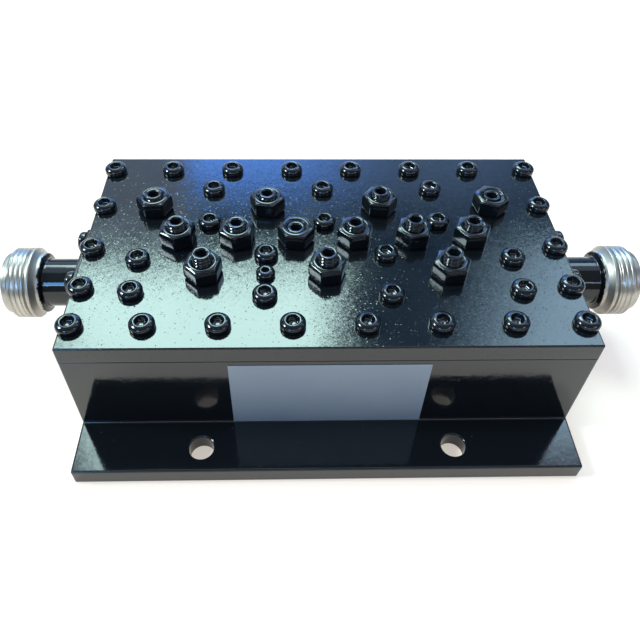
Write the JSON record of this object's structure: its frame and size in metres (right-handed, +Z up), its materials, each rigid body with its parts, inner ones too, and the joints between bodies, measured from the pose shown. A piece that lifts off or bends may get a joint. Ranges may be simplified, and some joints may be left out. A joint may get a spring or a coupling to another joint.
{
  "type": "bandpass filter",
  "caption": "Milled cavity bandpass filter with a screwed cover, lock-nutted tuning screws, a drilled mounting lip front and rear, and a threaded coaxial jack at each end.",
  "frame": {"origin": "middle of the mounting face, under the middle of the block", "axes": "+X along the block from the input jack to the output jack, +Y from the front lip to the rear lip, +Z up through the cover"},
  "size_m": [0.141, 0.0816, 0.0345],
  "materials": {
    "black_paint": "glossy black enamel, thick enough to round the edges",
    "foil": "bare satin foil",
    "steel": "bare steel",
    "silver_plate": "satin silver plating on brass",
    "nickel_plate": "bright nickel plating on brass, with black enamel behind the collar",
    "white_insulator": "waxy white",
    "gold_plate": "gold plating"
  },
  "bodies": {
    "root": {"housing": "black_paint", "cover": "black_paint", "label": "foil", "rim_screws": "black_paint", "wall_screws": "black_paint", "cross_screw": "black_paint", "resonator_1": "silver_plate", "resonator_2": "silver_plate", "resonator_3": "silver_plate", "resonator_4": "silver_plate", "resonator_5": "silver_plate", "resonator_6": "silver_plate", "resonator_7": "silver_plate", "resonator_screws": "steel", "tuning_screw_1": "black_paint", "tuning_screw_2": "black_paint", "tuning_screw_3": "black_paint", "tuning_screw_4": "black_paint", "tuning_screw_5": "black_paint", "tuning_screw_6": "black_paint", "tuning_screw_7": "black_paint", "coupling_screw_1": "black_paint", "coupling_screw_2": "black_paint", "coupling_screw_3": "black_paint", "coupling_screw_4": "black_paint", "coupling_screw_5": "black_paint", "coupling_screw_6": "black_paint", "tuning_nut_1": "black_paint", "tuning_nut_2": "black_paint", "tuning_nut_3": "black_paint", "tuning_nut_4": "black_paint", "tuning_nut_5": "black_paint", "tuning_nut_6": "black_paint", "tuning_nut_7": "black_paint", "coupling_nut_1": "black_paint", "coupling_nut_2": "black_paint", "coupling_nut_3": "black_paint", "coupling_nut_4": "black_paint", "coupling_nut_5": "black_paint", "coupling_nut_6": "black_paint", "input_jack": "nickel_plate", "input_insulator": "white_insulator", "input_contact": "gold_plate", "input_tap": "silver_plate", "input_jack_screws": "black_paint", "output_jack": "nickel_plate", "output_insulator": "white_insulator", "output_contact": "gold_plate", "output_tap": "silver_plate", "output_jack_screws": "black_paint"}
  },
  "joints": []
}
